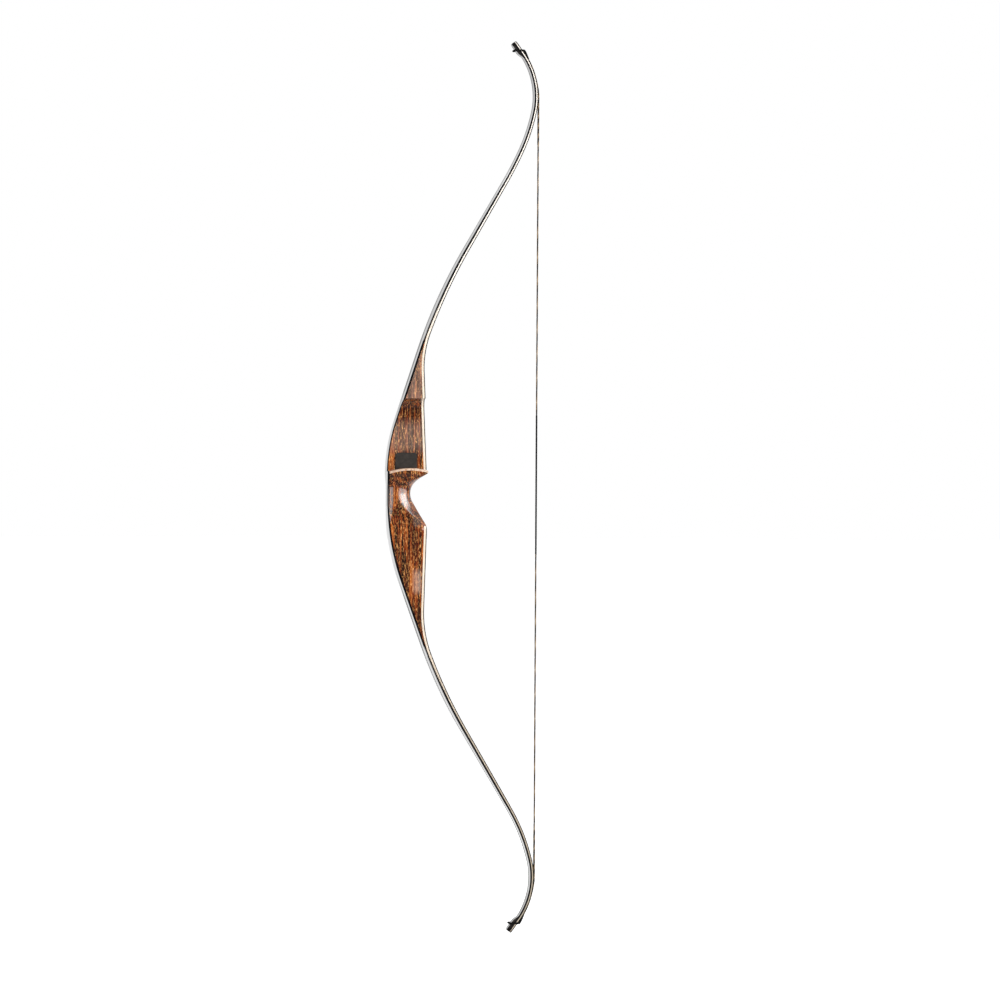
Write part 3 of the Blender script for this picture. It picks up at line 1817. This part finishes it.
@dataclass
class StringSide:
    """Half of the bowstring: loop, splice on the recurve, twisted length and centre serving."""

    limb: Limb
    finishes: Finishes
    serving_len: float
    tails: tuple[Tail, ...]
    string_r: float = 0.00125
    serving_r: float = 0.0015
    splice_len: float = 0.072
    splice_thin: float = 0.012
    nocking: float = 0.048
    loop_len: float = 0.02
    loop_pitch: float = 0.009
    loop_round: float = 0.0024
    loop_step: float = 0.0007
    loop_thin: float = 0.6
    loop_ease: int = 16
    splice_pitch: float = 0.016
    pitch: float = 0.04
    pitch_ease: float = 0.05
    pitch_steps: int = 16
    thread: float = 0.00062
    thread_bulge: float = 0.00009
    thread_end: float = 0.0004
    thread_drop: float = 0.00025
    closed: float = 0.8
    recurve_thin: float = 0.001
    recurve_ease: float = 0.03
    recurve_steps: int = 60
    lift_steps: int = 56
    tail_steps: int = 8
    tail_drop: float = 0.0032
    tail_r: Pair = (0.0007, 0.00048)
    tail_root: float = 0.0008
    tail_curve: float = 1.6
    tail_pitch: float = 0.004
    around: int = 20
    per_turn: int = 5
    crisp: float = 80.0

    @property
    def word(self) -> str:
        """The side's name."""
        return self.limb.side.word

    @property
    def up(self) -> int:
        """The direction of this half along Z."""
        return self.limb.side.value

    def span(self) -> tuple[float, float]:
        """Return the lengths along the limb where the loop closes and the string lifts off."""
        end = self.limb.line.length
        return end - BLANK.nock - self.loop_len, end - BLANK.hook_len

    def knot(self) -> Vector:
        """Return the place where the loop closes."""
        return self.limb.line.spot(self.span()[0], BLANK.string_off, 0.0)

    def contact(self) -> Vector:
        """Return the middle of the string where it leaves the recurve."""
        return self.limb.line.spot(self.span()[1], BLANK.string_off, 0.0)

    def lift(self) -> float:
        """Return the length past the recurve over which the string turns when it is drawn."""
        return (self.contact() - self.knot()).length

    def over_recurve(self) -> list[Vector]:
        """Lay the splice on the recurve, from the loop to where it leaves.

        Returns:
            The path of its middle.
        """
        start, end = self.span()
        path = []
        for k in range(self.recurve_steps + 1):
            s = mix(start, end, k / self.recurve_steps)
            depth = BLANK.string_off - BLANK.splice_r + self.recurve_r(s)
            path.append(self.limb.line.spot(s, depth, 0.0))
        return path

    def recurve_r(self, s: float) -> float:
        """Return how thick the splice is at a length along the limb, on the recurve."""
        past = s - self.span()[1]
        return mix(BLANK.splice_r, self.recurve_thin, eased(past / self.recurve_ease))

    def size_at(self, past: float) -> float:
        """Return how thick the string is at a length past the recurve."""
        share = eased((past - self.splice_len) / self.splice_thin)
        return mix(BLANK.splice_r, self.string_r, share)

    def pitch_at(self, past: float) -> float:
        """Return the length of one turn of the twist at a length past the recurve."""
        return mix(self.splice_pitch, self.pitch, eased((past - self.splice_len) / self.pitch_ease))

    def strands(self, rope: Rope, plans: dict[str, str], node: str) -> list[bpy.types.Object]:
        """Twist the strands of a rope.

        Args:
            rope: The rope.
            plans: The name of each strand with its shade.
            node: The node that the strands stand for.

        Returns:
            The strands.
        """
        pieces = []
        for index, (name, shade) in enumerate(plans.items()):
            piece = rope.strand(name, index, len(plans))
            dress(piece, getattr(self.finishes, shade), Slot.STRING, node)
            pieces.append(piece)
        return pieces

    def build(self) -> None:
        """Make every piece of this half and let it move as the bow is drawn."""
        self.build_splice()
        self.build_loop()
        self.build_length()
        self.build_tails()
        self.build_serving()

    def build_splice(self) -> None:
        """Twist the splice that lies on the recurve and straightens as the string lifts off."""
        start, end = self.span()
        knot, contact = self.knot(), self.contact()
        path = self.over_recurve()
        run = self.up * self.lift()
        steps = self.lift_steps
        path += [contact - Vector((0.0, 0.0, run * k / steps)) for k in range(1, steps + 1)]
        shares = [min(1.0, k / self.recurve_steps) for k in range(len(path))]
        sizes = [self.recurve_r(mix(start, end, share)) for share in shares]
        rope = Rope(path, sizes, [self.splice_pitch] * len(path))
        plans = {f"splice_{self.word}_{shade}": shade for shade in ("black", "bronze")}
        for piece in self.strands(rope, plans, f"string_end_{self.word}"):
            f"{self.word}_string_end"
            f"{self.word}_string"
            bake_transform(piece)

    def build_loop(self) -> None:
        """Twist the loop that goes round the tip through both nocks."""
        knot, leg = self.knot(), self.limb.leg
        path = rounded(
            [knot, leg(0, 1), leg(1, 1), leg(1, -1), leg(0, -1), knot], self.loop_round, self.loop_step
        )
        r = BLANK.splice_r
        from_end = [min(i, len(path) - 1 - i) for i in range(len(path))]
        sizes = [mix(self.loop_thin * r, r, eased(i / self.loop_ease)) for i in from_end]
        rope = Rope(path, sizes, [self.loop_pitch] * len(path))
        plans = {f"loop_{self.word}_strand_{index}": "black" for index in (1, 2)}
        middle = (leg(0.5, 1) + leg(0.5, -1)) / 2
        for piece in self.strands(rope, plans, f"string_end_{self.word}"):
            f"{self.word}_limb"
            f"{self.word}_string_end"
            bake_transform(piece)

    def build_length(self) -> None:
        """Twist the length from the splice to the nocking point."""
        contact = self.contact()
        skip = self.lift()
        total = abs(contact.z) - self.nocking * self.up
        past = [skip]
        while past[-1] < total:
            past.append(past[-1] + self.pitch_at(past[-1]) / self.pitch_steps)
        past[-1] = total
        path = [contact - Vector((0.0, 0.0, self.up * p)) for p in past]
        turned = 2 * pi * (self.arc_length() + skip) / self.splice_pitch
        rope = Rope(path, [self.size_at(p) for p in past], [self.pitch_at(p) for p in past], turned)
        plans = {f"string_{self.word}_{shade}": shade for shade in ("black", "bronze")}
        for piece in self.strands(rope, plans, f"string_{self.word}"):
            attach(piece, f"{self.word}_string")

    def build_tails(self) -> None:
        """Let the short ends of the spliced strands stick out of the string."""
        count = self.tail_steps
        sizes = [mix(*self.tail_r, k / count) for k in range(count + 1)]
        for index, tail in enumerate(self.tails, 1):
            path = []
            for k in range(count + 1):
                t = k / count
                out = mix(self.tail_root, tail.reach, t**self.tail_curve)
                z = self.up * (tail.height + self.tail_drop * (1 - t))
                path.append(Vector((BLANK.brace + out * cos(tail.turn), -out * sin(tail.turn), z)))
            rope = Rope(path, sizes, [self.tail_pitch] * len(path))
            plans = {f"strand_end_{self.word}_{index}": tail.shade}
            for piece in self.strands(rope, plans, f"string_{self.word}"):
                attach(piece, f"{self.word}_string")

    def arc_length(self) -> float:
        """Return the length of the splice on the recurve."""
        path = self.over_recurve()
        return sum((b - a).length for a, b in zip(path, path[1:]))

    def build_serving(self) -> None:
        """Wind the centre serving round the string, turn by turn."""
        count = int(self.serving_len / self.thread * self.per_turn)
        rows, lays = [], []
        for i in range(count + 1):
            t = self.serving_len * i / count
            end = min(1.0, min(t, self.serving_len - t) / self.thread_end)
            row, lay = [], []
            for k in range(self.around):
                a = 2 * pi * k / self.around
                wave = cos(2 * pi * t / self.thread - a)
                r = self.serving_r - self.thread_bulge * (1 - wave) - self.thread_drop * (1 - end)
                if i in (0, count):
                    r = self.string_r * self.closed
                z = self.up * (self.nocking * self.up + t)
                row.append(Vector((BLANK.brace + r * cos(a), r * sin(a), z)))
                lay.append(Vector((6 * a, wave, t)))
            rows.append(row)
            lays.append(lay)
        piece = Desk.wrap(f"centre_serving_{self.word}_wound", np.array(rows), np.array(lays))
        Desk.smooth(piece, self.crisp)
        dress(piece, self.finishes.serving, Slot.SERVING, f"centre_serving_{self.word}")
        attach(piece, f"{self.word}_string")


# Studio


@dataclass(frozen=True)
class Lamp:
    """One soft box: its place, size and power, and the point that it faces."""

    name: str
    at: Triple
    size: Pair
    power: float
    aim: Triple = (0.0, 0.0, 0.0)

    def hang(self) -> None:
        """Hang the soft box."""
        data = bpy.data.lights.new(self.name, "AREA")
        data.shape = "RECTANGLE"
        data.size, data.size_y = self.size
        data.energy = self.power
        lamp = bpy.data.objects.new(self.name, data)
        bpy.context.collection.objects.link(lamp)
        lamp.location = self.at
        lamp.rotation_euler = (Vector(self.aim) - Vector(self.at)).to_track_quat("-Z", "Y").to_euler()


@dataclass(frozen=True)
class Studio:
    """Camera at the photograph's angle, pale floor and soft light."""

    turn: float = 9.0
    roll: float = 0.33
    distance: float = 8.0
    scale: float = 0.001645
    sensor: float = 36.0
    aim: Triple = (0.1492, 0.0, -0.0099)
    floor: float = -0.7225
    room: float = 0.2
    floor_size: float = 160.0
    mirrored: Pair = (0.05, 0.9)
    mirrored_range: Pair = (-0.8, -0.1)
    mirrored_floor: Pair = (0.0, 0.9)
    mirrored_floor_range: Pair = (-0.3, 0.5)
    glow: Pair = (0.5, 0.84)
    glow_range: Pair = (1.5, 3.6)
    cool: tuple[float, float, float, float] = (0.98, 0.99, 1.0, 1.0)
    pale: Triple = (0.9, 0.9, 0.9)
    dark: Triple = (0.12, 0.12, 0.12)
    white: tuple[float, float, float, float] = (1.0, 1.0, 1.0, 1.0)

    def camera(self) -> None:
        """Place a long lens level with the grip, turned a little to the back of the bow."""
        data = bpy.data.cameras.new("camera")
        data.sensor_width = self.sensor
        data.sensor_fit = "HORIZONTAL"
        data.lens = self.sensor * self.distance / (self.scale * 1000)
        data.clip_end = 200.0
        camera = bpy.data.objects.new("camera", data)
        bpy.context.collection.objects.link(camera)
        a = radians(self.turn)
        back = Vector((-sin(a), -cos(a), 0.0))
        at = Vector(self.aim) + back * self.distance
        turn = (-back).to_track_quat("-Z", "Y")
        roll = Matrix.Rotation(radians(self.roll), 4, "Z")
        camera.matrix_world = Matrix.Translation(at) @ turn.to_matrix().to_4x4() @ roll
        bpy.context.scene.camera = camera

    @staticmethod
    def around(turn: float, rise: float, distance: float = 3.4) -> Triple:
        """Return a place before the bow, turned to the string side and raised, in degrees."""
        flat = distance * cos(radians(rise))
        return flat * sin(radians(turn)), -flat * cos(radians(turn)), distance * sin(radians(rise))

    def world(self) -> None:
        """Light the room evenly, dark behind the camera and white where nothing stands."""
        world = bpy.data.worlds.new("room")
        bpy.context.scene.world = world
        world.use_nodes = True
        m = Nodes(world.node_tree)
        rays = m.add("LightPath").outputs
        away = m.parts(m.add("TexCoord").outputs["Generated"])[1]
        front = m.remap(
            away, *self.mirrored_range, *self.mirrored, interpolation_type="SMOOTHSTEP"
        )
        seen, glossy, clear = (
            m.add("Background", {"Color": colour, "Strength": strength}).outputs[0]
            for colour, strength in (
                (self.cool, self.room), (self.white, front), (self.white, 1.0)
            )
        )
        for ray, shader in (("Glossy", glossy), ("Transmission", clear), ("Camera", clear)):
            seen = m.add("MixShader", {0: rays[f"Is {ray} Ray"], 1: seen, 2: shader}).outputs[0]
        m.add("OutputWorld", {"Surface": seen})

    def ground(self) -> None:
        """Lay the pale floor just under the lower tip: dark in mirrors before the bow."""
        Desk.clear()
        bpy.ops.mesh.primitive_grid_add(
            x_subdivisions=4, y_subdivisions=4, size=self.floor_size, location=(0.0, 0.0, self.floor)
        )
        floor = Desk.named("floor")
        m = Mixer("pale_floor")
        rays = m.add("LightPath").outputs
        place = m.place()
        past = m.remap(m.parts(place)[1], *self.mirrored_floor_range, *self.mirrored_floor)
        behind = m.times(past, rays["Is Glossy Ray"])
        ahead = m.sum("SUBTRACT", rays["Is Glossy Ray"], behind)
        far = m.add("VectorMath", {0: place}, operation="LENGTH").outputs["Value"]
        glow = m.remap(far, *self.glow_range, *self.glow)
        finish = m.set(
            Base_Color=m.blend(ahead, self.pale, self.dark), Roughness=0.9,
            Emission_Color=self.white,
            Emission_Strength=m.times(m.most(rays["Is Camera Ray"], behind), glow),
        )
        floor.data.materials.append(finish)

    def build(self) -> None:
        """Set the view, the room, the floor and the lamps."""
        bpy.context.scene.view_settings.view_transform = "Standard"
        self.camera()
        self.world()
        self.ground()
        for lamp in (
            Lamp("key", self.around(-26.0, 2.0), (2.3, 3.0), 54.0),
            Lamp("fill", self.around(43.0, 15.0), (2.8, 3.0), 88.0),
            Lamp("glint", self.around(41.0, 16.0), (1.7, 1.9), 56.0),
            Lamp("rim", (0.4, 2.4, 1.8), (2.0, 1.2), 24.0, aim=(0.05, 0.0, 0.0)),
        ):
            lamp.hang()


def main() -> None:
    """Set the studio, then make and dress the bow piece by piece."""
    logging.basicConfig(level=logging.INFO, format="%(name)s %(message)s")
    Studio().build()
    finishes = Finishes()
    riser = Riser(finishes)
    riser.build()
    SidePlate(finishes).build()
    upper_tails = (Tail(0.577, 0.3, 0.0011, "bronze"),)
    lower_tails = (
        Tail(0.566, 0.2, 0.0011, "black"),
        Tail(0.6015, 0.3, 0.0011, "bronze"),
        Tail(0.6025, 2.9, 0.0022, "bronze"),
    )
    for line, serving, tails in ((UPPER, 0.082, upper_tails), (LOWER, 0.147, lower_tails)):
        limb = Limb(line, finishes)
        limb.build(riser)
        StringSide(limb, finishes, serving, tails).build()


if __name__ == "__main__":
    main()
